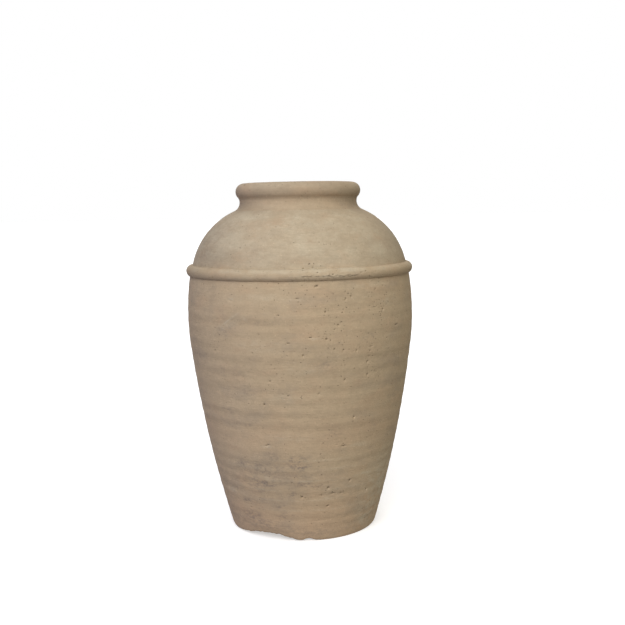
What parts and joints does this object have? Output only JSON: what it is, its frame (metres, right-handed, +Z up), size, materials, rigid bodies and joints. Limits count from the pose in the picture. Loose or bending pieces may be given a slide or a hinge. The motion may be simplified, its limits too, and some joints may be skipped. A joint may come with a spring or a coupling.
{
  "type": "storage amphora",
  "caption": "Handle-less storage jar of coarse clay, ovoid with a domed shoulder, an applied cordon, a short waisted neck and a rolled rim, standing on a flat foot.",
  "frame": {"origin": "centre of the foot's flat face, on the ground", "axes": "+Z up along the jar's axis, +X and +Y level; the jar is round, so they are free"},
  "size_m": [0.3291, 0.3292, 0.5],
  "materials": {
    "clay": "matt, coarse, throwing ridges and pits",
    "rim_clay": "matt, finger-smoothed",
    "cordon_clay": "matt, chalky, thumbed and cracked",
    "slip": "matt, fine"
  },
  "bodies": {
    "root": {"floor_slab": "clay", "lower_ring": "clay", "belly_ring": "clay", "upper_ring": "clay", "shoulder_dome": "clay", "neck_collar": "clay", "rim_roll": "rim_clay", "cordon": "cordon_clay", "floor_coil": "clay", "floor_slip": "slip", "lower_slip": "slip", "belly_slip": "slip", "cordon_slip": "slip", "neck_slip": "slip", "rim_slip": "slip"}
  },
  "joints": []
}
